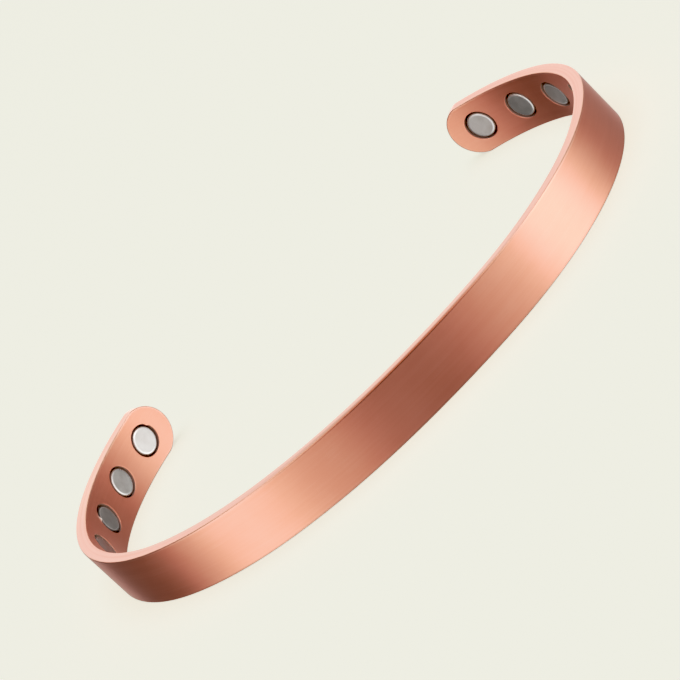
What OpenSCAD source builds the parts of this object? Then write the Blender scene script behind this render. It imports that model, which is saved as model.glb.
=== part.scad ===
// Open cuff bracelet bent from a flat copper strip, with round magnets set into its inner face.
// It lies on its lower edge: the wrist goes through along Z, the back is at -Y, the opening at +Y.

/* [Strip] */
// Width of the strip, lower edge to upper edge
band_w = 7; // [6:0.5:12]
// Thickness of the strip
band_t = 1.5; // [1.3:0.1:3]
// Length of the strip along its middle, tip to tip
band_length = 164; // [140:0.5:190]
// Rounding of the long edges
edge_r = 0.15; // [0.1:0.05:0.6]
// How much the round tips' radius exceeds half the strip's width
tip_easing = 0.05; // [0.02:0.01:0.5]

/* [Bend] */
// Angle through which the strip turns from its middle to the right tip
right_turn = 151; // [130:0.5:160]
// Angle through which the strip turns from its middle to the left tip
left_turn = 147.5; // [130:0.5:160]

/* [Magnets] */
// Diameter of a magnet
magnet_d = 3.5; // [2:0.1:4.5]
// Thickness of a magnet
magnet_t = 1; // [0.5:0.05:1.2]
// Bevel round a magnet's rim
magnet_bevel = 0.15; // [0.05:0.05:0.4]
// Distance from a tip to the centre of its first magnet
first_magnet = 4.5; // [3.5:0.05:8]
// Distance between the centres of neighbouring magnets, along the strip
magnet_pitch = 7.15; // [5:0.05:12]
// Clearance between a magnet's side and the wall of its pocket
side_gap = 0.25; // [0.1:0.05:0.6]
// Clearance between a magnet and the floor of its pocket, where the glue is
glue_gap = 0.05; // [0.01:0.01:0.15]

/* [Hidden] */
$fn = 96;

// The strip is bent in two halves, from its middle to a tip; the left one is mirrored
left = -1;
right = 1;
sides = [left, right];
// Share of a half's whole turn that each of its equally long arcs takes, from the strip's middle on
right_shares = [0.09, 0.195, 0.245, 0.275, 0.195];
left_shares = [0.13, 0.175, 0.23, 0.245, 0.22];
arcs = len(right_shares);
magnets_per_end = 4;

half_length = band_length / 2;
arc_length = half_length / arcs;
tip_r = band_w / 2 + tip_easing;
pocket_d = magnet_d + 2 * side_gap;
pocket_depth = magnet_t + glue_gap;
// How far a tool that cuts a pocket or a tip stands out of the strip, and the strip out of a tip's cut
cut_over = 1;
degrees = 180 / PI;
// Steps in which radii and long moves are held, so that neighbouring arcs meet without a gap
fine_step = 0.001;
function held(x) = round(x / fine_step) * fine_step;

// Angle that arc i of a half turns through
function turn(side, i) = side == right ? right_turn * right_shares[i] : left_turn * left_shares[i];
// Heading of a half at the start of arc i, measured from its own sideways axis
function start_heading(side, i) = i == 0 ? 0 : start_heading(side, i - 1) + turn(side, i - 1);
// Radius of the strip's middle line along arc i
function arc_radius(side, i) = held(arc_length / turn(side, i) * degrees);
// Unit vector from an arc's centre to the place that has heading h
function outward(h) = [sin(h), -cos(h)];
// Centre of arc i: it lies on the line through the last centre and the place where the arcs meet
function centre(side, i) =
    i == 0 ? -arc_radius(side, 0) * outward(0) : centre(side, i - 1)
        + (arc_radius(side, i - 1) - arc_radius(side, i)) * outward(start_heading(side, i));
// Number of the arc that holds the place at distance s from the strip's middle
function arc_at(s) = min(arcs - 1, floor(s / arc_length));
// Heading at distance s
function heading(side, s) =
    let (i = arc_at(s))
    start_heading(side, i) + turn(side, i) * (s / arc_length - i);
// Place at distance s, this far outward from the middle line
function spot(side, s, out = 0) =
    let (i = arc_at(s))
    centre(side, i) + (arc_radius(side, i) + out) * outward(heading(side, s));

// The cuff is turned so that both tips come equally far forward, then centred on its own box
function sided(side, p) = [side * p.x, p.y];
tip_line = sided(right, spot(right, half_length)) - sided(left, spot(left, half_length));
level = atan2(tip_line.y, tip_line.x);
function levelled(p) = [p.x * cos(level) + p.y * sin(level), p.y * cos(level) - p.x * sin(level)];
// The outer face reaches furthest on every side, so its places at this spacing give the box
box_step = 0.25;
distances = concat([for (s = [0 : box_step : half_length]) s], [half_length]);
outline = [for (side = sides, s = distances) levelled(sided(side, spot(side, s, band_t / 2)))];
xs = [for (p = outline) p.x];
ys = [for (p = outline) p.y];
box_middle = [min(xs) + max(xs), min(ys) + max(ys)] / 2;

// Puts the whole cuff in its place
module placed() {
    translate([-box_middle.x, -box_middle.y, 0])
        rotate([0, 0, -level])
            children();
}

// Mirrors the left half
module half(side) {
    mirror([side == left ? 1 : 0, 0, 0])
        children();
}

// Moves by v in two steps, a long held one and its small rest
module shift(v) {
    long = [for (x = v) held(x)];
    translate(long)
        translate(v - long)
            children();
}

// Goes to distance s along a half: X along the strip, Y towards the wrist, Z up
module along(side, s) {
    translate(spot(side, s))
        rotate([0, 0, heading(side, s)])
            children();
}

// Cross-section: thickness along X, width along Y from the lower edge, with rounded corners
module section() {
    flat_w = band_w - 2 * edge_r;
    flat_t = band_t - 2 * edge_r;
    translate([-band_t / 2, edge_r])
        square([band_t, flat_w]);
    translate([-flat_t / 2, 0])
        square([flat_t, band_w]);
    for (x = [-flat_t / 2, flat_t / 2], y = [edge_r, edge_r + flat_w])
        translate([x, y])
            circle(r = edge_r);
}

// One arc of the strip; the last one runs on past the tip, which is cut round
module arc(side, i) {
    r = arc_radius(side, i);
    past_tip = i == arcs - 1 ? cut_over / r * degrees : 0;
    half(side)
        shift(centre(side, i))
            rotate_extrude(angle = turn(side, i) + past_tip, start = start_heading(side, i) - 90)
                translate([r, 0])
                    section();
}

// What is cut off a tip to make it round
module tip_waste(side) {
    depth = band_t + 2 * cut_over;
    half(side)
        along(side, half_length - tip_r)
            translate([0, 0, band_w / 2])
                rotate([90, 0, 0])
                    difference() {
                        translate([0, -band_w, -depth / 2])
                            cube([2 * tip_r, 2 * band_w, depth]);
                        cylinder(h = 2 * depth, r = tip_r, center = true);
                    }
}

// Goes to the floor of pocket n of a half, Z towards the wrist
module at_pocket(side, n) {
    half(side)
        along(side, half_length - first_magnet - (n - 1) * magnet_pitch)
            translate([0, band_t / 2 - pocket_depth, band_w / 2])
                rotate([-90, 0, 0])
                    children();
}

module band() {
    color("#c8795a")
        placed()
            difference() {
                union() {
                    for (side = sides, i = [0 : arcs - 1])
                        arc(side, i);
                }
                for (side = sides) {
                    tip_waste(side);
                    for (n = [1 : magnets_per_end])
                        at_pocket(side, n)
                            cylinder(h = pocket_depth + cut_over, d = pocket_d);
                }
            }
}

module magnet(side, n) {
    straight = magnet_t - magnet_bevel;
    color("#a9a9a4")
        placed()
            at_pocket(side, n)
                translate([0, 0, glue_gap]) {
                    cylinder(h = straight, d = magnet_d);
                    translate([0, 0, straight])
                        cylinder(h = magnet_bevel, d1 = magnet_d, d2 = magnet_d - 2 * magnet_bevel);
                }
}

band();
magnet(left, 1);  // magnet_left_1
magnet(left, 2);  // magnet_left_2
magnet(left, 3);  // magnet_left_3
magnet(left, 4);  // magnet_left_4
magnet(right, 1);  // magnet_right_1
magnet(right, 2);  // magnet_right_2
magnet(right, 3);  // magnet_right_3
magnet(right, 4);  // magnet_right_4
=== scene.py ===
import math
import bmesh
import bpy
from mathutils import Matrix, Vector


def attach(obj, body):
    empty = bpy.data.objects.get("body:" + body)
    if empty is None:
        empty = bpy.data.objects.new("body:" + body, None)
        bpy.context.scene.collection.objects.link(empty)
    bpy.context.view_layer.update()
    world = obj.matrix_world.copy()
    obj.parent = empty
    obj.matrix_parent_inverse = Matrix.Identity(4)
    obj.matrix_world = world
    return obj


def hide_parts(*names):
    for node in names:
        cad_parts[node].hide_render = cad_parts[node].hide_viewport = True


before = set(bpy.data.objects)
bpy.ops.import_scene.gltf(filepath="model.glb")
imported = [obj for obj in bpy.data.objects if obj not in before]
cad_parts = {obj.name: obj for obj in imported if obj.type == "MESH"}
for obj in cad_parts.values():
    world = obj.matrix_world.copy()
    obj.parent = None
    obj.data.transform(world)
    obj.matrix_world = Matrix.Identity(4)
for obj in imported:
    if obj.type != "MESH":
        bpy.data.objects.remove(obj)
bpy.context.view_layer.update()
mm = 0.001
noiseMean = 0.5     # what a noise gives on average


# wraps an output socket, so that sums are written as sums
class Wire:
    def __init__(self, graph, socket):
        self.graph = graph
        self.socket = socket

    def math(self, operation, first, second):
        return self.graph.node("ShaderNodeMath", {"operation": operation}, {0: first, 1: second})

    def __add__(self, other):
        return self.math("ADD", self, other)

    def __sub__(self, other):
        return self.math("SUBTRACT", self, other)

    def __rsub__(self, other):
        return self.math("SUBTRACT", other, self)

    def __mul__(self, other):
        return self.math("MULTIPLY", self, other)

    __radd__ = __add__
    __rmul__ = __mul__


# a node tree with one way to add a node: type, settings, then socket values or links
class Graph:
    def __init__(self, tree):
        self.tree = tree

    def node(self, kind, settings=None, sockets=None, out=0):
        made = self.tree.nodes.new(kind)
        for name, value in (settings or {}).items():
            setattr(made, name, value)
        for key, value in (sockets or {}).items():
            target = made.inputs[key]
            if isinstance(value, Wire):
                self.tree.links.new(value.socket, target)
            else:
                target.default_value = value
        if out is None:
            return made
        return Wire(self, made.outputs[out])

    def blend(self, mask, first, second, kind="RGBA"):
        names = {"RGBA": (6, 7, 2), "FLOAT": (2, 3, 0)}[kind]
        return self.node("ShaderNodeMix", {"data_type": kind},
                         {0: mask, names[0]: first, names[1]: second}, names[2])

    def band(self, value, low, high, toLow=0.0, toHigh=1.0):
        return self.node("ShaderNodeMapRange", {"interpolation_type": "SMOOTHSTEP"},
                         {"Value": value, "From Min": low, "From Max": high,
                          "To Min": toLow, "To Max": toHigh})

    # rises from low to lowTop and falls from highTop to high
    def plateau(self, value, low, lowTop, highTop, high):
        return self.band(value, low, lowTop) * self.band(value, highTop, high, 1.0, 0.0)

    def vector(self, operation, first, second):
        socket = "Scale" if operation == "SCALE" else 1
        return self.node("ShaderNodeVectorMath", {"operation": operation}, {0: first, socket: second})

    # a stretch, one factor for each axis, takes the place of the scale
    def noise(self, place, detail, roughness, scale=1.0, stretch=None):
        if stretch:
            place = self.vector("MULTIPLY", place, stretch)
        return self.node("ShaderNodeTexNoise", None,
                         {"Vector": place, "Scale": scale, "Detail": detail, "Roughness": roughness})

    def weighed(self, wires, weights):
        total = wires[0] * weights[0]
        for wire, weight in zip(wires[1:], weights[1:]):
            total = total + wire * weight
        return total

    def attribute(self, name):
        return self.node("ShaderNodeAttribute", {"attribute_name": name}, None, "Fac")


def lerp(a, b, t):
    return a + (b - a) * t


def spread(first, last, steps):
    return [lerp(first, last, i / steps) for i in range(steps + 1)]


# camera at the photo's angle, a distance in metres
camera = {
    "azimuth": 9.35,
    "elevation": 19.224,
    "roll": -45.953,
    "distance": 431.193 * mm,
    "target": Vector((0.673, -8.505, 7.124)) * mm,
    "lens": 207.606,
    "sensor": 36.0,
    "near": 0.01,
    "far": 20.0,
}


def makeCamera():
    azimuth, elevation, roll = (math.radians(camera[k]) for k in ("azimuth", "elevation", "roll"))
    back = Vector((math.sin(azimuth) * math.cos(elevation), -math.cos(azimuth) * math.cos(elevation),
                   math.sin(elevation)))
    across = Vector((math.cos(azimuth), math.sin(azimuth), 0))
    upright = back.cross(across)
    turnedAcross = math.cos(roll) * across + math.sin(roll) * upright
    turnedUp = -math.sin(roll) * across + math.cos(roll) * upright
    data = bpy.data.cameras.new("camera")
    data.lens = camera["lens"]
    data.sensor_width = camera["sensor"]
    data.clip_start = camera["near"]
    data.clip_end = camera["far"]
    made = bpy.data.objects.new("camera", data)
    made.matrix_world = Matrix.Translation(camera["target"] + back * camera["distance"]) @ Matrix(
        (turnedAcross, turnedUp, back)).transposed().to_4x4()
    bpy.context.scene.collection.objects.link(made)
    bpy.context.scene.camera = made


makeCamera()
print("camera set")


# the strip and its bend, in mm: half lengths run from the middle to a tip
strip = {
    "width": 7.0,
    "thickness": 1.5,
    "halfLength": 82.0,
    "edgeRadius": 0.15,
    "tipRadius": 3.55,
    "rightTurn": 151.0,
    "leftTurn": 147.5,
    "rightShares": (0.09, 0.195, 0.245, 0.275, 0.195),
    "leftShares": (0.13, 0.175, 0.23, 0.245, 0.22),
    "easing": 3.0,        # the bend passes from one arc to the next over twice this
    "easingSamples": 24,
    "pathStep": 0.1,
    "overrun": 1.0,       # the path goes on this far past the tips
    "columns": 18,        # columns of faces beside a pocket, and rows across the strip
    "middleStep": 0.5,
    "tipColumns": 16,
    "lastColumns": 12,    # from the first pocket's patch to just past the tip's centre
    "pastTipCentre": 0.55,
    "cornerSteps": 5,
    "cornerEnd": 0.12,    # one more row this far past a rounded corner keeps the rim's shading flat
    "faceInset": 0.26,    # where the flat faces begin, just inside the rounded edges
    "slack": 1e-6,        # how far a station may be from a patch's edge and still belong to it
    "mergeDistance": 2e-6,    # in metres, as is the next
    "samePoint": 1e-8,
    "farInside": 3.0,     # what the inset and lip attributes say well away from an edge
}


# the bend: curvature of each arc, eased where arcs meet, then summed up to headings and places
def arcCurvature(distance):
    right = distance >= 0
    turn = strip["rightTurn"] if right else strip["leftTurn"]
    shares = strip["rightShares"] if right else strip["leftShares"]
    arcLength = strip["halfLength"] / len(shares)
    arc = min(len(shares) - 1, int(abs(distance) / arcLength))
    return math.radians(turn * shares[arc]) / arcLength


def easedCurvature(distance):
    reach, samples = strip["easing"], strip["easingSamples"]
    offsets = [reach * (2 * (i + 0.5) / samples - 1) for i in range(samples)]
    return sum(arcCurvature(distance + offset) for offset in offsets) / samples


def walkHalf(side):
    step = strip["pathStep"]
    count = round((strip["halfLength"] + strip["overrun"]) / step)
    heading, x, y = 0.0, 0.0, 0.0
    places = [(0.0, x, y, heading)]
    for i in range(count):
        bent = easedCurvature(side * (i + 0.5) * step) * step
        x += side * math.cos(heading + bent / 2) * step
        y += math.sin(heading + bent / 2) * step
        heading += bent
        places.append((side * (i + 1) * step, x, y, side * heading))
    return places


def bentPath():
    left, right = walkHalf(-1), walkHalf(1)
    path = left[:0:-1] + right
    tips = [p for p in path if abs(abs(p[0]) - strip["halfLength"]) < strip["pathStep"] / 2]
    level = math.atan2(tips[1][2] - tips[0][2], tips[1][1] - tips[0][1])
    c, s = math.cos(level), math.sin(level)
    turned = [(d, x * c + y * s, y * c - x * s, h - level) for d, x, y, h in path]
    outer = [(x + math.sin(h) * strip["thickness"] / 2, y - math.cos(h) * strip["thickness"] / 2)
             for d, x, y, h in turned if abs(d) <= strip["halfLength"] + strip["pathStep"] / 2]
    midX = (min(p[0] for p in outer) + max(p[0] for p in outer)) / 2
    midY = (min(p[1] for p in outer) + max(p[1] for p in outer)) / 2
    return [(d, x - midX, y - midY, h) for d, x, y, h in turned]


def makePathCurve():
    points = bentPath()
    curve = bpy.data.curves.new("bendLine", "CURVE")
    curve.dimensions = "3D"
    line = curve.splines.new("POLY")
    line.points.add(len(points) - 1)
    for spot, (d, x, y, h) in zip(line.points, points):
        spot.co = (x * mm, y * mm, 0.0, 1.0)
    made = bpy.data.objects.new("bendLine", curve)
    bpy.context.scene.collection.objects.link(made)
    return made


bendLine = makePathCurve()
print("bend line made")


# the magnets' pockets, in mm
pockets = {
    "radius": 2.0,
    "depth": 1.05,
    "lip": 0.06,
    "first": 4.5,
    "pitch": 7.15,
    "perEnd": 4,
    "rings": 5,
    "collar": 0.07,       # a round ring of points stands this far outside the lip
    "collarInset": 1.0,   # what the inset attribute says there
    "lipSteps": 3,
    "wallShares": (0.2, 0.45, 0.75, 1.0),
    "floorRings": (1.5, 1.0, 0.5),
    "burrRoom": 0.2,      # how far outside a pocket, and how far down it, a burr is felt
    "burrDepth": 0.3,
    "burrs": (            # small spurs of copper pushed over a pocket's lip, angles in degrees, each with the strength of a painted glint on it
        {"side": -1, "number": 3, "angle": 38, "spread": 9, "reach": 0.40, "paintedHighlight": 1.0},
        {"side": -1, "number": 1, "angle": 150, "spread": 7, "reach": 0.14, "paintedHighlight": 0.0},
    ),
}


# the flat blank of the band: x along the strip, y towards the wrist, z up, still unbent
class Blank:
    def __init__(self):
        self.bm = bmesh.new()
        self.uv = self.bm.loops.layers.uv.new("strip")
        self.inset = self.bm.verts.layers.float.new("inset")
        self.sunk = self.bm.verts.layers.float.new("sunk")
        self.lip = self.bm.verts.layers.float.new("lip")
        self.spurGlint = self.bm.verts.layers.float.new("spurGlint")

    def vert(self, s, o, z, u, v, inset=strip["farInside"], sunk=0.0, lip=strip["farInside"], spurGlint=0.0):
        made = self.bm.verts.new((s * mm, o * mm, z * mm))
        made[self.inset] = inset
        made[self.sunk] = sunk
        made[self.lip] = lip
        made[self.spurGlint] = spurGlint
        return made, (u, v)

    def face(self, corners):
        distinct = []
        for vert, uv in corners:
            if all((vert.co - other.co).length > strip["samePoint"] for other, _ in distinct):
                distinct.append((vert, uv))
        if len(distinct) < 3:
            return
        made = self.bm.faces.new([vert for vert, _ in distinct])
        for loop, (_, uv) in zip(made.loops, distinct):
            loop[self.uv].uv = uv

    def sheet(self, rows, closed=False):
        for first, second in zip(rows, rows[1:]):
            count = len(first)
            for i in range(count if closed else count - 1):
                j = (i + 1) % count
                self.face([first[i], first[j], second[j], second[i]])


halfWidth = strip["width"] / 2
halfThick = strip["thickness"] / 2
tipCentre = strip["halfLength"] - strip["tipRadius"]


# stations along the edge: ("straight", s) or ("tip", side, share of the way round to the tip)
def stationList():
    pitch = pockets["pitch"]
    lastPatch = strip["halfLength"] - pockets["first"] - (pockets["perEnd"] - 0.5) * pitch
    tipPatch = strip["halfLength"] - pockets["first"] - pitch / 2
    middleSteps = round(2 * lastPatch / strip["middleStep"])
    near = spread(lastPatch, tipPatch, strip["columns"] * (pockets["perEnd"] - 1))[1:]
    last = spread(tipPatch, tipCentre + strip["pastTipCentre"], strip["lastColumns"])[1:-1]
    rightOnes = near + last
    straight = [-s for s in reversed(rightOnes)] + spread(-lastPatch, lastPatch, middleSteps) + rightOnes
    tip = spread(0, 1, strip["tipColumns"])
    return ([("tip", -1, t) for t in reversed(tip)] + [("straight", s) for s in straight]
            + [("tip", 1, t) for t in tip])


def edgeSpot(station, inset):
    if station[0] == "straight":
        return station[1], halfWidth - inset, station[1]
    side, share = station[1:]
    radius = strip["tipRadius"] - inset
    corner = math.asin(math.sqrt(radius ** 2 - (halfWidth - inset) ** 2) / radius)
    angle = lerp(corner, math.pi / 2, share)
    along = tipCentre + strip["tipRadius"] * angle
    return side * (tipCentre + radius * math.sin(angle)), radius * math.cos(angle), side * along


def rimProfile():
    r = strip["edgeRadius"]
    half = [(strip["faceInset"], halfThick)]
    for i in range(strip["cornerSteps"] + 1):
        a = math.pi / 2 * i / strip["cornerSteps"]
        half.append((r * (1 - math.sin(a)), halfThick - r * (1 - math.cos(a))))
    half.append((0.0, halfThick - r - strip["cornerEnd"]))
    profile = half + [(0.0, 0.0)] + [(inset, -o) for inset, o in reversed(half)]
    lengths = [0.0]
    for (a, b), (c, d) in zip(profile, profile[1:]):
        lengths.append(lengths[-1] + math.hypot(c - a, d - b))
    return [(inset, o, q) for (inset, o), q in zip(profile, lengths)]


def localRadius(distance):
    return 1 / easedCurvature(distance)


# a place in a pocket: how far along the strip and how high above its middle plane, both measured straight
def pocketSpot(centre, across, height):
    r = localRadius(centre)
    return (centre + r * math.atan2(across, r - height), r - math.hypot(across, r - height))


def faceHeight(centre, across):
    r = localRadius(centre)
    return r - math.sqrt((r - halfThick) ** 2 - across ** 2)


def pocketRings(blank, side, number, perimeter):
    centre = side * (strip["halfLength"] - pockets["first"] - (number - 1) * pockets["pitch"])
    radius, lip, depth = pockets["radius"], pockets["lip"], pockets["depth"]
    angles = [math.atan2(z - halfWidth, s - centre) for s, z, inset in perimeter]
    burrs = [burr for burr in pockets["burrs"] if (burr["side"], burr["number"]) == (side, number)]

    def pushed(burr, angle):
        off = (math.degrees(angle) - burr["angle"] + 180) % 360 - 180
        return math.exp(-(off / burr["spread"]) ** 2)

    # how strong the painted glint is at an angle round the pocket
    def glintAt(angle):
        return max([pushed(burr, angle) * burr["paintedHighlight"] for burr in burrs], default=0.0)

    def spot(angle, reach, drop, onFace):
        for burr in burrs:
            if reach < radius + pockets["burrRoom"] and drop < pockets["burrDepth"]:
                reach -= burr["reach"] * pushed(burr, angle) * (1 - drop / pockets["burrDepth"])
        across = reach * math.cos(angle)
        height = faceHeight(centre, across) - drop if onFace else halfThick - drop
        s, o = pocketSpot(centre, across, height)
        return s, (halfThick if onFace and drop == 0 else o), halfWidth + reach * math.sin(angle)

    rings = []
    outward = radius + lip + pockets["collar"]
    for k in range(pockets["rings"] + 1):       # from the perimeter in to the lip
        t = k / pockets["rings"]
        ring = []
        for (s, z, inset), angle in zip(perimeter, angles):
            s1, o1, z1 = spot(angle, outward, 0.0, True)
            sv, zv = lerp(s, s1, t), lerp(z, z1, t)
            away = math.hypot(sv - centre, zv - halfWidth) - radius
            spurGlint = glintAt(angle) if t == 1 else 0.0
            ring.append(blank.vert(sv, halfThick, zv, sv, zv,
                                   inset=lerp(inset, pockets["collarInset"], t), lip=away, spurGlint=spurGlint))
        rings.append(ring)
    for step in range(pockets["lipSteps"] + 1):     # the small rounded lip
        a = math.pi / 2 * step / pockets["lipSteps"]
        drop = lip * (1 - math.cos(a))
        ring = []
        for angle in angles:
            s, o, z = spot(angle, radius + lip * (1 - math.sin(a)), drop, True)
            ring.append(blank.vert(s, o, z, s, z, lip=0.0, sunk=drop, spurGlint=glintAt(angle)))
        rings.append(ring)
    for share in pockets["wallShares"]:         # the wall, straight down to the floor
        ring = []
        for angle in angles:
            s, o, z = spot(angle, radius, lerp(lip, depth, share), False)
            ring.append(blank.vert(s, o, z, s, z, lip=0.0, sunk=lerp(lip, depth, share)))
        rings.append(ring)
    for reach in pockets["floorRings"]:
        ring = []
        for angle in angles:
            s, o, z = spot(angle, reach, depth, False)
            ring.append(blank.vert(s, o, z, s, z, lip=0.0, sunk=depth))
        rings.append(ring)
    blank.sheet(rings, closed=True)
    s, o, z = spot(0.0, 0.0, depth, False)
    middle = blank.vert(s, o, z, s, z, lip=0.0, sunk=depth)
    for i, corner in enumerate(rings[-1]):
        blank.face([corner, rings[-1][(i + 1) % len(rings[-1])], middle])


def bandBlank():
    blank = Blank()
    stations = stationList()
    rows = strip["columns"]
    inset = strip["faceInset"]
    profile = rimProfile()
    girth = profile[-1][2]

    for side in (1, -1):                        # upper and lower rim
        band = []
        for station in stations:
            column = []
            for edge, o, q in profile:
                s, up, along = edgeSpot(station, edge)
                v = strip["width"] + q if side > 0 else -q
                column.append(blank.vert(s, o, halfWidth + side * up, along, v, inset=edge))
            band.append(column)
        blank.sheet(band)

    def faceColumn(station, o):
        s, up, along = edgeSpot(station, inset)
        column = []
        for j in range(rows + 1):
            z = halfWidth + up * (2 * j / rows - 1)
            v = z if o > 0 else 2 * strip["width"] + girth - z
            near = inset + up * (1 - abs(2 * j / rows - 1))
            column.append(blank.vert(s, o, z, s, v, inset=near))
        return column

    blank.sheet([faceColumn(station, -halfThick) for station in stations])   # outer face

    def patchEdges(number):
        middle = strip["halfLength"] - pockets["first"] - (number - 1) * pockets["pitch"]
        return middle - pockets["pitch"] / 2, middle + pockets["pitch"] / 2

    inner = [st for st in stations if st[0] == "straight"
             and abs(st[1]) <= patchEdges(pockets["perEnd"])[0] + strip["slack"]]
    # inner face between the two rows of pockets
    blank.sheet([faceColumn(station, halfThick) for station in inner])

    for side in (-1, 1):
        for number in range(1, pockets["perEnd"] + 1):
            low, high = patchEdges(number)
            if number == 1:
                high = strip["halfLength"]
            low, high = low - strip["slack"], high + strip["slack"]
            own = [st for st in stations if (st[0] == "straight" and low <= side * st[1] <= high)
                   or (number == 1 and st[0] == "tip" and st[1] == side)]
            own.sort(key=lambda st: abs(edgeSpot(st, inset)[0]))
            bottom = [edgeSpot(st, inset) for st in own]
            perimeter = [(s, halfWidth - up, inset) for s, up, _ in bottom]
            shareRows = [2 * j / rows - 1 for j in range(1, rows)]
            if number > 1:
                s, up, _ = bottom[-1]
                perimeter += [(s, halfWidth + up * w, inset + up * (1 - abs(w))) for w in shareRows]
                perimeter += [(s, halfWidth + up, inset) for s, up, _ in reversed(bottom)]
            else:
                perimeter += [(s, halfWidth + up, inset) for s, up, _ in reversed(bottom[:-1])]
            s, up, _ = bottom[0]
            perimeter += [(s, halfWidth + up * w, inset + up * (1 - abs(w))) for w in reversed(shareRows)]
            pocketRings(blank, side, number, perimeter)

    bm = blank.bm
    bmesh.ops.remove_doubles(bm, verts=bm.verts, dist=strip["mergeDistance"])
    bmesh.ops.recalc_face_normals(bm, faces=bm.faces)
    loose = [e for e in bm.edges if not e.is_manifold]
    print("band blank:", len(bm.verts), "points,", len(bm.faces), "faces,", len(loose), "open edges")
    mesh = bpy.data.meshes.new("bandBlank")
    bm.to_mesh(mesh)
    bm.free()
    made = bpy.data.objects.new("bandBlank", mesh)
    bpy.context.scene.collection.objects.link(made)
    return made


# the magnets, in mm
magnets = {
    "radius": 1.75,
    "thickness": 1.0,
    "roundIn": 0.34,      # the rounded rim starts this far in, and ends this far down
    "roundDown": 0.17,
    "glue": 0.05,
    "segments": 96,
    "roundSteps": 8,
    "faceRings": (0.45, 0.9, 1.2),
    "rimStart": 0.05,     # the last flat ring is this far inside the rounding
    "foot": ((0.0, 0.5), (0.0, 0.12), (0.03, 0.03), (0.12, 0.0)),     # how far in, how high
    "faceShare": 1.01,    # the rim attribute is the share of the radius down to this share of the rounding
    "offFace": 1.2,       # and this below it
    "turns": (20, 75, 130, 190, 250, 305, 340, 45),
    "copperTints": (0.0, 0.0, 0.08, 1.0, 0.05, 0.0, 0.1, 0.3),      # a copper-brown colour over part of a face, fuller lower down
    "paintedLightLevels": (1.17, 1.03, 0.99, 0.88, 0.91, 1.07, 1.38, 1.0),      # painted light and shade: each magnet's colour scaled lighter or darker for the light that falls on it
    "gapShadeSpreads": (0.0, 0.0, 0.035, 0.02, 0.0, 0.0, 0.02, 0.0),    # painted shade: how much further in the dark band on the rim reaches, and how much darker it gets
}


# magnet disc standing on its own origin, axis up
def magnetBlank():
    r, t = magnets["radius"], magnets["thickness"]
    inward, down = magnets["roundIn"], magnets["roundDown"]
    profile = [(reach, t) for reach in (*magnets["faceRings"], r - inward - magnets["rimStart"])]
    for i in range(magnets["roundSteps"] + 1):
        a = math.pi / 2 * i / magnets["roundSteps"]
        profile.append((r - inward + inward * math.sin(a), t - down + down * math.cos(a)))
    profile += [(r - into, height) for into, height in magnets["foot"]]
    profile.append((magnets["faceRings"][1], 0.0))
    bm = bmesh.new()
    rim = bm.verts.layers.float.new("rim")
    rings = []
    for reach, height in profile:
        ring = []
        for i in range(magnets["segments"]):
            a = 2 * math.pi * i / magnets["segments"]
            vert = bm.verts.new((reach * math.cos(a) * mm, reach * math.sin(a) * mm, height * mm))
            vert[rim] = reach / r if height > t - down * magnets["faceShare"] else magnets["offFace"]
            ring.append(vert)
        rings.append(ring)
    count = magnets["segments"]
    for first, second in zip(rings, rings[1:]):
        for i in range(count):
            j = (i + 1) % count
            bm.faces.new((first[i], first[j], second[j], second[i]))
    for ring, height in ((rings[0], t), (rings[-1], 0.0)):
        middle = bm.verts.new((0, 0, height * mm))
        for i in range(count):
            bm.faces.new((ring[i], ring[(i + 1) % count], middle))
    bmesh.ops.recalc_face_normals(bm, faces=bm.faces)
    mesh = bpy.data.meshes.new("magnetBlank")
    bm.to_mesh(mesh)
    bm.free()
    return mesh


# Geometry Nodes
def newTree(name, inputs):
    tree = bpy.data.node_groups.new(name, "GeometryNodeTree")
    tree.is_modifier = True
    keys = {}
    for label, kind in inputs:
        keys[label] = tree.interface.new_socket(label, in_out="INPUT", socket_type=kind).identifier
    tree.interface.new_socket("Geometry", in_out="OUTPUT", socket_type="NodeSocketGeometry")
    return tree, keys


def closeTree(graph, geometry, material):
    whole = graph.node("GeometryNodeRealizeInstances", None, {"Geometry": geometry})
    smooth = graph.node("GeometryNodeSetShadeSmooth", None, {"Geometry": whole, "Shade Smooth": True})
    painted = graph.node("GeometryNodeSetMaterial", None, {"Geometry": smooth, "Material": material})
    graph.node("NodeGroupOutput", None, {"Geometry": painted}, None)


def onLine(graph, path, distance, overrun):
    line = graph.node("GeometryNodeObjectInfo", {"transform_space": "ORIGINAL"}, {"Object": path},
                      "Geometry")
    sampled = graph.node("GeometryNodeSampleCurve", {"mode": "LENGTH", "use_all_curves": False},
                         {"Curves": line, "Length": distance + overrun}, None)
    place = Wire(graph, sampled.outputs["Position"])
    tangent = Wire(graph, sampled.outputs["Tangent"])
    wristward = graph.vector("CROSS_PRODUCT", (0, 0, 1), tangent)
    return place, wristward


# bends a flat blank along the line
def bendTree():
    tree, keys = newTree("bend", (("Geometry", "NodeSocketGeometry"), ("Line", "NodeSocketObject"),
                                  ("Middle", "NodeSocketFloat"), ("Finish", "NodeSocketMaterial")))
    graph = Graph(tree)
    given = graph.node("NodeGroupInput", None, None, None)
    wires = {label: Wire(graph, given.outputs[label]) for label in keys}
    flat = graph.node("GeometryNodeInputPosition")
    parts = graph.node("ShaderNodeSeparateXYZ", None, {0: flat}, None)
    along, out, height = (Wire(graph, parts.outputs[i]) for i in range(3))
    place, wristward = onLine(graph, wires["Line"], along, wires["Middle"])
    shifted = graph.vector("SCALE", wristward, out)
    lifted = graph.node("ShaderNodeCombineXYZ", None, {2: height})
    spot = graph.vector("ADD", graph.vector("ADD", place, shifted), lifted)
    bent = graph.node("GeometryNodeSetPosition", None, {"Geometry": wires["Geometry"], "Position": spot})
    closeTree(graph, bent, wires["Finish"])
    return tree, keys


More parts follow.
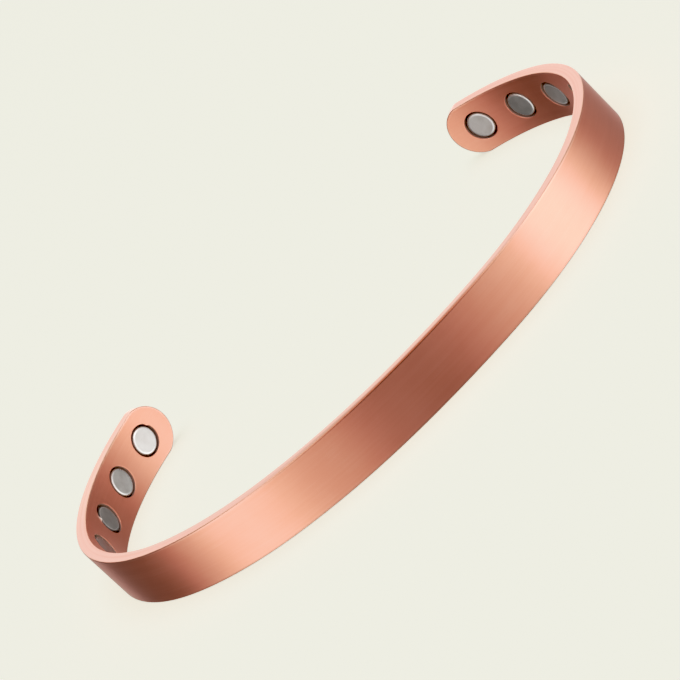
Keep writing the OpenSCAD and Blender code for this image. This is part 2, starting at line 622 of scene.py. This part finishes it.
# sets a disc into the band at a distance along the line
def setInTree():
    tree, keys = newTree("setIn", (("Geometry", "NodeSocketGeometry"), ("Line", "NodeSocketObject"),
                                   ("Middle", "NodeSocketFloat"), ("Distance", "NodeSocketFloat"),
                                   ("Lift", "NodeSocketFloat"), ("Height", "NodeSocketFloat"),
                                   ("Turn", "NodeSocketFloat"), ("Smear", "NodeSocketFloat"),
                                   ("Tone", "NodeSocketFloat"), ("Grime", "NodeSocketFloat"),
                                   ("Finish", "NodeSocketMaterial")))
    graph = Graph(tree)
    given = graph.node("NodeGroupInput", None, None, None)
    wires = {label: Wire(graph, given.outputs[label]) for label in keys}
    marked = wires["Geometry"]
    for label in ("Smear", "Tone", "Grime"):
        marked = graph.node("GeometryNodeStoreNamedAttribute", {"data_type": "FLOAT", "domain": "POINT"},
                            {"Geometry": marked, "Name": label.lower(), "Value": wires[label]})
    place, wristward = onLine(graph, wires["Line"], wires["Distance"], wires["Middle"])
    shifted = graph.vector("SCALE", wristward, wires["Lift"])
    lifted = graph.node("ShaderNodeCombineXYZ", None, {2: wires["Height"]})
    spot = graph.vector("ADD", graph.vector("ADD", place, shifted), lifted)
    turned = graph.node("FunctionNodeAxesToRotation", {"primary_axis": "Z", "secondary_axis": "Y"},
                        {"Primary Axis": wristward, "Secondary Axis": (0, 0, 1)})
    points = graph.node("GeometryNodePoints", None, {"Count": 1, "Position": spot})
    discs = graph.node("GeometryNodeInstanceOnPoints", None,
                       {"Points": points, "Instance": marked, "Rotation": turned})
    spun = graph.node("ShaderNodeCombineXYZ", None, {2: wires["Turn"]})
    rolled = graph.node("GeometryNodeRotateInstances", None,
                        {"Instances": discs, "Rotation": spun, "Local Space": True})
    closeTree(graph, rolled, wires["Finish"])
    return tree, keys


def settled(blankObject, name, tree, keys, values):
    modifier = blankObject.modifiers.new("shape", "NODES")
    modifier.node_group = tree
    for label, value in values.items():
        modifier[keys[label]] = value
    bpy.context.view_layer.update()
    evaluated = blankObject.evaluated_get(bpy.context.evaluated_depsgraph_get())
    mesh = bpy.data.meshes.new_from_object(evaluated, preserve_all_data_layers=True,
                                           depsgraph=bpy.context.evaluated_depsgraph_get())
    mesh.name = name
    made = bpy.data.objects.new(name, mesh)
    bpy.context.scene.collection.objects.link(made)
    blankObject.modifiers.remove(modifier)
    return made


# finishes
copper = {
    "colour": (0.90, 0.385, 0.277),
    "deep": (0.86, 0.345, 0.242),
    "pale": (0.95, 0.52, 0.40),
    # painted glint on the spurs: a pale colour, not metallic
    "spurGlint": (1.0, 0.84, 0.78),
    "glue": (0.42, 0.29, 0.25),
    "rimPaintedShade": (0.48, 0.34, 0.27),     # painted shade on the rim's outer edge about the middle
    "rimPaintedSheen": (0.94, 1.08, 1.10),      # painted sheen on its inner edge there
    "tipPaintedHighlight": (1.05, 1.12, 1.09),      # painted highlight on the rim of the left tip
    "roughness": 0.33,
    "gluedRoughness": 0.75,
    "innerPaintedShade": 0.84,   # painted shade: the face on the wrist's side is darker for the light it gets less of, and a little rougher
    "innerRoughness": 0.06,
    "innerFade": 0.2,     # in mm, as are the places below
    "wornEdge": (0.02, 0.34),
    "wornLip": (0.02, 0.16),
    "gluedFrom": (0.015, 0.08),         # depth below the face at which the glue begins and is full
    "shadeAlong": (-24.0, 5.0, 8.0, 28.0),      # places along the strip of the rim's painted shade, sheen and highlight
    "sheenAlong": (-44.0, -30.0, 32.0, 46.0),
    "tipAlong": (-66.0, -54.0),
    "shadeAcross": (0.95, 0.40, 0.20, -0.02),   # how far they are from the outer face
    "sheenAcross": (0.05, 0.2, 0.45, 0.9),       # and from the inner one
    "tipFromInner": (0.05, 0.3),
    "tipFromOuter": (0.3, 0.05),
    "shadeWiderLeft": (-8.0, 3.0, 0.3),
    "shadeWiderRight": (8.0, 16.0, 0.1),
}

# brushing is long along the strip and fine across it; a row of four numbers is the noise at which
# something begins and is full, then how strong it is at the one and at the other
brushing = {
    "fine": {"stretch": (0.10, 14.0, 1.0), "detail": 3.0, "roughness": 0.6},
    "broad": {"stretch": (0.035, 3.2, 1.0), "detail": 2.0, "roughness": 0.5},
    "scratches": {"stretch": (0.22, 30.0, 1.0), "detail": 1.0, "roughness": 0.4},
    "cloud": {"scale": 75.0, "detail": 3.0, "roughness": 0.55},
    "patch": {"scale": 260.0, "detail": 2.0, "roughness": 0.5},
    "grainMix": (0.6, 0.4),             # fine, broad
    "toneMix": (0.6, 0.15, 0.25),       # cloud, patch, broad
    "toneRange": (0.36, 0.66),
    "toneBoost": 0.35,
    "edgeBreak": (0.3, 0.6, 0.35, 1.0),
    "edgeWear": 0.55,
    "lipWear": 0.15,
    "scratchShow": (0.62, 0.76, 0.0, 0.30),
    "grainRoughness": 0.14,
    "cloudRoughness": 0.08,
    "wornPolish": 0.06,
    "reliefMix": (0.75, 0.25),          # grain, scratches
    "bumpStrength": 0.35,
    "bumpDepth": 0.012,
}

nickel = {
    "colour": (0.50, 0.485, 0.465),
    "dull": (0.42, 0.40, 0.375),
    # colour of the painted highlight on the ring
    "paintedHighlight": (0.74, 0.72, 0.70),
    "copperBrown": (0.42, 0.19, 0.14),
    # colour of the dark band on a magnet's rim: glue, and painted shade of the gap round it
    "glue": (0.32, 0.22, 0.19),
    "roughness": 0.40,
    "mottle": {"scale": 900.0, "detail": 3.0, "roughness": 0.6},
    "cloud": {"scale": 260.0, "detail": 2.0, "roughness": 0.5},
    "pits": {"scale": 5200.0, "detail": 1.0, "roughness": 0.5},
    "lines": {"stretch": (600.0, 600.0, 9000.0), "detail": 2.0, "roughness": 0.5},
    "toneMix": (0.5, 0.5),              # mottle, cloud
    "toneRange": (0.36, 0.64),
    "ring": (0.80, 0.88, 1.0, 1.15),    # the ring with a painted highlight, a little polished too, as shares of the radius
    "gluedFrom": (0.925, 0.96),         # where the dark band on the rim begins and is full: glue, and painted shade of the gap round the magnet
    "ringHighlightStrength": 0.7,
    "glueShadeWaver": 0.05,
    "tintHeight": (2.8, 4.8),           # in mm: the copper-brown colour thins out upwards, to the next share
    "tintAbove": 0.5,
    "tintBreak": (0.3, 0.6, 0.75, 1.0),
    "gapShadeFull": 0.03,                  # painted shade: where the band reaches further in, it is darker
    "gapShadeDark": 0.2,
    "mottleRoughness": 0.16,
    "pitRoughness": 0.1,
    "ringPolish": 0.1,
    "reliefMix": (0.4, 0.2, 0.4),       # mottle, pits, lines
    "bumpStrength": 0.3,
    "bumpDepth": 0.012,
}


def newMaterial(name):
    material = bpy.data.materials.new(name)
    material.use_nodes = True
    material.node_tree.nodes.clear()
    return material, Graph(material.node_tree)


def copperFinish():
    material, graph = newMaterial("brushedCopper")
    flat = graph.node("ShaderNodeUVMap", {"uv_map": "strip"})
    solid = graph.node("ShaderNodeTexCoord", None, None, "Object")
    inset = graph.attribute("inset")
    sunk = graph.attribute("sunk")
    lip = graph.attribute("lip")

    # the strip's u and v are in mm
    fine = graph.noise(flat, **brushing["fine"])
    broad = graph.noise(flat, **brushing["broad"])
    scratch = graph.noise(flat, **brushing["scratches"])
    cloud = graph.noise(solid, **brushing["cloud"])
    patch = graph.noise(solid, **brushing["patch"])

    grain = graph.weighed((fine, broad), brushing["grainMix"])
    tone = graph.band(graph.weighed((cloud, patch, broad), brushing["toneMix"]), *brushing["toneRange"])
    colour = graph.blend(tone, (*copper["deep"], 1), (*copper["colour"], 1))
    colour = graph.blend(tone * brushing["toneBoost"], colour, (*copper["colour"], 1))
    edge = graph.band(inset, *copper["wornEdge"], 1.0, 0.0) * graph.band(broad, *brushing["edgeBreak"])
    lipWear = graph.band(lip, *copper["wornLip"], 1.0, 0.0)
    worn = graph.node("ShaderNodeMath", {"operation": "MAXIMUM"},
                      {0: edge * brushing["edgeWear"], 1: lipWear * brushing["lipWear"]})
    colour = graph.blend(worn, colour, (*copper["pale"], 1))
    lines = graph.band(scratch, *brushing["scratchShow"])
    colour = graph.blend(lines, colour, (*copper["pale"], 1))
    across = graph.node("ShaderNodeSeparateXYZ", None, {0: flat}, 1)
    # painted shade on the inner face; the same mask also makes it a little rougher
    inner = graph.band(across, strip["width"], strip["width"] + copper["innerFade"], 1.0, 0.0)
    paintedShadeColour = graph.vector("SCALE", colour, copper["innerPaintedShade"])
    colour = graph.blend(inner, colour, paintedShadeColour)

    # painted shade, painted sheen and a painted highlight on the upper rim: in its middle the painted shade
    # makes it look slimmer
    along = graph.node("ShaderNodeSeparateXYZ", None, {0: flat}, 0)
    girth = rimProfile()[-1][2]
    fromInner = across - strip["width"]
    fromOuter = [girth - reach for reach in copper["shadeAcross"]]
    leftFrom, leftTo, leftMore = copper["shadeWiderLeft"]
    rightFrom, rightTo, rightMore = copper["shadeWiderRight"]
    wider = (graph.band(along, leftFrom, leftTo, leftMore, 0.0)
             + graph.band(along, rightFrom, rightTo, 0.0, rightMore))
    outerEdge = graph.band(fromInner + wider, *fromOuter[:2])
    outerEdge = outerEdge * graph.band(fromInner, *fromOuter[2:], 1.0, 0.0)
    innerEdge = graph.plateau(fromInner, *copper["sheenAcross"])
    tipOuter = [girth - reach for reach in copper["tipFromOuter"]]
    anyRim = graph.plateau(fromInner, *copper["tipFromInner"], *tipOuter)
    # painted shade on the rim's outer edge
    paintedRimShade = outerEdge * graph.plateau(along, *copper["shadeAlong"])
    # painted sheen on the rim's inner edge
    light = innerEdge * graph.plateau(along, *copper["sheenAlong"])
    # painted highlight on the rim of the left tip
    tip = anyRim * graph.band(along, *copper["tipAlong"], 1.0, 0.0)
    for mask, tint in ((paintedRimShade, "rimPaintedShade"), (light, "rimPaintedSheen"), (tip, "tipPaintedHighlight")):
        paintedRimTint = graph.blend(mask, (1, 1, 1, 1), (*copper[tint], 1))
        colour = graph.vector("MULTIPLY", colour, paintedRimTint)

    glued = graph.band(sunk, *copper["gluedFrom"])
    colour = graph.blend(glued, colour, (*copper["glue"], 1))
    # painted glint on the spurs
    spurGlint = graph.attribute("spurGlint")
    colour = graph.blend(spurGlint, colour, (*copper["spurGlint"], 1))

    roughness = copper["roughness"] + (grain - noiseMean) * brushing["grainRoughness"]
    roughness = roughness + (cloud - noiseMean) * brushing["cloudRoughness"] - worn * brushing["wornPolish"]
    roughness = roughness + inner * copper["innerRoughness"]
    roughness = graph.blend(glued, roughness, copper["gluedRoughness"], "FLOAT")
    bare = (1.0 - glued) * (1.0 - spurGlint)
    height = graph.weighed((grain, scratch), brushing["reliefMix"])
    bump = graph.node("ShaderNodeBump", None,
                      {"Strength": brushing["bumpStrength"], "Distance": brushing["bumpDepth"] * mm,
                       "Height": height})
    shader = graph.node("ShaderNodeBsdfPrincipled", None,
                        {"Base Color": colour, "Metallic": bare, "Roughness": roughness, "Normal": bump})
    graph.node("ShaderNodeOutputMaterial", None, {"Surface": shader}, None)
    return material


def nickelFinish():
    material, graph = newMaterial("satinNickel")
    solid = graph.node("ShaderNodeTexCoord", None, None, "Object")
    rim = graph.attribute("rim")
    mottle = graph.noise(solid, **nickel["mottle"])
    cloud = graph.noise(solid, **nickel["cloud"])
    pits = graph.noise(solid, **nickel["pits"])
    lines = graph.noise(solid, **nickel["lines"])
    tone = graph.band(graph.weighed((mottle, cloud), nickel["toneMix"]), *nickel["toneRange"])
    colour = graph.blend(tone, (*nickel["dull"], 1), (*nickel["colour"], 1))
    # painted highlight on the ring, which is also a little smoother
    ring = graph.plateau(rim, *nickel["ring"])
    colour = graph.blend(ring * nickel["ringHighlightStrength"], colour, (*nickel["paintedHighlight"], 1))
    smear = graph.attribute("smear")
    height = graph.node("ShaderNodeSeparateXYZ", None, {0: solid}, 2)
    # painted light and shade, one level for each magnet
    paintedLight = graph.attribute("tone")
    colour = graph.vector("SCALE", colour, paintedLight)
    dustLow, dustHigh = (level * mm for level in nickel["tintHeight"])
    copperTinted = smear * graph.band(height, dustLow, dustHigh, 1.0, nickel["tintAbove"])
    copperTinted = copperTinted * graph.band(mottle, *nickel["tintBreak"])
    colour = graph.blend(copperTinted, colour, (*nickel["copperBrown"], 1))
    # dark band on the magnet's rim: glue, and painted shade of the gap round the magnet
    grime = graph.attribute("grime")
    glued = graph.band(rim + grime + (mottle - noiseMean) * nickel["glueShadeWaver"], *nickel["gluedFrom"])
    darkened = graph.band(grime, 0.0, nickel["gapShadeFull"], 1.0, nickel["gapShadeDark"])
    glueAndGapShade = graph.vector("SCALE", nickel["glue"], darkened)
    colour = graph.blend(glued, colour, glueAndGapShade)
    roughness = nickel["roughness"] + (mottle - noiseMean) * nickel["mottleRoughness"]
    roughness = roughness + (pits - noiseMean) * nickel["pitRoughness"] - ring * nickel["ringPolish"]
    relief = graph.weighed((mottle, pits, lines), nickel["reliefMix"])
    bump = graph.node("ShaderNodeBump", None,
                      {"Strength": nickel["bumpStrength"], "Distance": nickel["bumpDepth"] * mm,
                       "Height": relief})
    shader = graph.node("ShaderNodeBsdfPrincipled", None,
                        {"Base Color": colour, "Metallic": 1.0 - glued, "Roughness": roughness,
                         "Normal": bump})
    graph.node("ShaderNodeOutputMaterial", None, {"Surface": shader}, None)
    return material


copperLook = copperFinish()
nickelLook = nickelFinish()
print("finishes made")

# band
middle = (strip["halfLength"] + strip["overrun"]) * mm
blankObject = bandBlank()
bendGroup, bendKeys = bendTree()
band = settled(blankObject, "copperBand", bendGroup, bendKeys,
               {"Line": bendLine, "Middle": middle, "Finish": copperLook})
bpy.data.objects.remove(blankObject)
print("band bent:", len(band.data.polygons), "faces")

# magnets
discMesh = magnetBlank()
setInGroup, setInKeys = setInTree()
magnetPieces = []
for side, word in ((-1, "left"), (1, "right")):
    for number in range(1, pockets["perEnd"] + 1):
        disc = bpy.data.objects.new("disc", discMesh)
        bpy.context.scene.collection.objects.link(disc)
        distance = side * (strip["halfLength"] - pockets["first"] - (number - 1) * pockets["pitch"])
        lift = halfThick - pockets["depth"] + magnets["glue"]
        piece = settled(disc, f"{word}Magnet{number}", setInGroup, setInKeys,
                        {"Line": bendLine, "Middle": middle, "Distance": distance * mm,
                         "Lift": lift * mm, "Height": halfWidth * mm,
                         "Turn": math.radians(magnets["turns"][len(magnetPieces)]),
                         "Smear": magnets["copperTints"][len(magnetPieces)],
                         "Tone": magnets["paintedLightLevels"][len(magnetPieces)],
                         "Grime": magnets["gapShadeSpreads"][len(magnetPieces)], "Finish": nickelLook})
        bpy.data.objects.remove(disc)
        magnetPieces.append((piece, f"magnet_{word}_{number}"))
bpy.data.objects.remove(bendLine)
print("magnets set:", len(magnetPieces))

for piece, node, slot in [(band, "band", "copper")] + [(p, n, "magnet_plating") for p, n in magnetPieces]:
    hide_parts(node)
    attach(piece, "root")


# the floor is a light table: it glows, so the shadow on it stays faint
studio = {
    "floorColour": (0.50, 0.50, 0.44),
    "floorGlow": (0.80, 0.80, 0.68),
    "floorReach": 4.0,
    "floorSegments": 8,
    "roomLight": (0.19, 0.19, 0.19),
    "backdrop": (1.1, 1.1, 0.95),
    "blackPoint": 0.04,
    "whitePoint": 2.2,
    "toneCurve": ((0.1, 0.055), (0.2, 0.15), (0.3, 0.257), (0.5, 0.46), (0.8, 0.66), (1.1, 0.845),
                  (1.4, 0.965)),        # light in, tone out
}

# softboxes: where they stand round the cuff, how large in degrees, how bright
softboxes = {
    "leftCore": {"azimuth": -53, "low": -55, "high": 55, "width": 32, "radiance": 0.95},
    "leftWash": {"azimuth": -48, "low": -55, "high": 55, "width": 71, "radiance": 0.72},
    "rightCore": {"azimuth": 69, "low": -55, "high": 55, "width": 34, "radiance": 1.52},
    "rightWash": {"azimuth": 64, "low": -55, "high": 55, "width": 84, "radiance": 0.78},
    "between": {"azimuth": 0, "low": -55, "high": 35, "width": 22, "radiance": 0.10},
    "farRight": {"azimuth": 132, "low": -55, "high": 35, "width": 48, "radiance": 0.18},
    "farLeft": {"azimuth": -152, "low": -55, "high": 0, "width": 35, "radiance": 0.43},
    "backLow": {"azimuth": 178, "low": -45, "high": 8, "width": 40, "radiance": 0.50},
    "backBox": {"azimuth": 183, "low": -6, "high": 48, "width": 68, "radiance": 1.17},
}
softboxDistance = 0.4
topBox = {"height": 1.5, "size": 1.6, "radiance": 1.7}


def makeFloor():
    bm = bmesh.new()
    segments = studio["floorSegments"]
    bmesh.ops.create_grid(bm, x_segments=segments, y_segments=segments, size=studio["floorReach"])
    mesh = bpy.data.meshes.new("floor")
    bm.to_mesh(mesh)
    bm.free()
    floor = bpy.data.objects.new("floor", mesh)
    bpy.context.scene.collection.objects.link(floor)
    material, graph = newMaterial("palePaper")
    paper = graph.node("ShaderNodeBsdfDiffuse", None, {"Color": (*studio["floorColour"], 1)})
    glow = graph.node("ShaderNodeEmission", None, {"Color": (*studio["floorGlow"], 1), "Strength": 1.0})
    both = graph.node("ShaderNodeAddShader", None, {0: paper, 1: glow})
    graph.node("ShaderNodeOutputMaterial", None, {"Surface": both}, None)
    mesh.materials.append(material)
    floor.visible_glossy = False        # the metal sees the softboxes below it, as on a light table
    floor.visible_shadow = False
    return floor


def areaLight(name, place, aim, width, height, radiance):
    data = bpy.data.lights.new(name, "AREA")
    data.shape = "RECTANGLE"
    data.size = width
    data.size_y = height
    data.energy = radiance * math.pi * width * height
    made = bpy.data.objects.new(name, data)
    made.location = place
    made.rotation_mode = "QUATERNION"
    made.rotation_quaternion = (aim - place).to_track_quat("-Z", "Y")
    made.visible_camera = False
    bpy.context.scene.collection.objects.link(made)
    return made


def makeLights(floor):
    centre = Vector((0, 0, halfWidth * mm))
    unlit = bpy.data.collections.new("unlitByBoxes")        # no pools of light where a box meets the floor
    unlit.objects.link(floor)
    unlit.collection_objects[0].light_linking.link_state = "EXCLUDE"
    for name, box in softboxes.items():
        turn = math.radians(box["azimuth"])
        low, high = (softboxDistance * math.tan(math.radians(box[k])) for k in ("low", "high"))
        width = 2 * softboxDistance * math.tan(math.radians(box["width"] / 2))
        place = Vector((math.sin(turn) * softboxDistance, -math.cos(turn) * softboxDistance,
                        (low + high) / 2))
        light = areaLight(name, place, Vector((0, 0, place.z)), width, high - low, box["radiance"])
        light.light_linking.receiver_collection = unlit
    areaLight("topBox", Vector((0, 0, topBox["height"])), centre, topBox["size"], topBox["size"],
              topBox["radiance"])


def makeRoom():
    world = bpy.data.worlds.new("room")
    bpy.context.scene.world = world
    world.use_nodes = True
    world.node_tree.nodes.clear()
    graph = Graph(world.node_tree)
    seen = graph.node("ShaderNodeLightPath", None, None, "Is Camera Ray")
    colour = graph.blend(seen, (*studio["roomLight"], 1), (*studio["backdrop"], 1))
    shade = graph.node("ShaderNodeBackground", None, {"Color": colour, "Strength": 1.0})
    graph.node("ShaderNodeOutputWorld", None, {"Surface": shade}, None)


makeLights(makeFloor())
makeRoom()
scene = bpy.context.scene
scene.view_settings.view_transform = "Standard"
scene.view_settings.look = "None"
scene.view_settings.exposure = 0.0
scene.view_settings.gamma = 1.0
scene.view_settings.use_curve_mapping = True


# darks held down and highlights rolled off, as the photo's are
def setTone(mapping):
    black, white = studio["blackPoint"], studio["whitePoint"]
    mapping.black_level = (black,) * 3
    mapping.white_level = (white,) * 3
    curve = mapping.curves[3]
    for light, tone in studio["toneCurve"]:
        curve.points.new((light - black) / (white - black), tone)
    for point in curve.points:
        point.handle_type = "AUTO_CLAMPED"
    mapping.update()


setTone(scene.view_settings.curve_mapping)
print("studio lit")
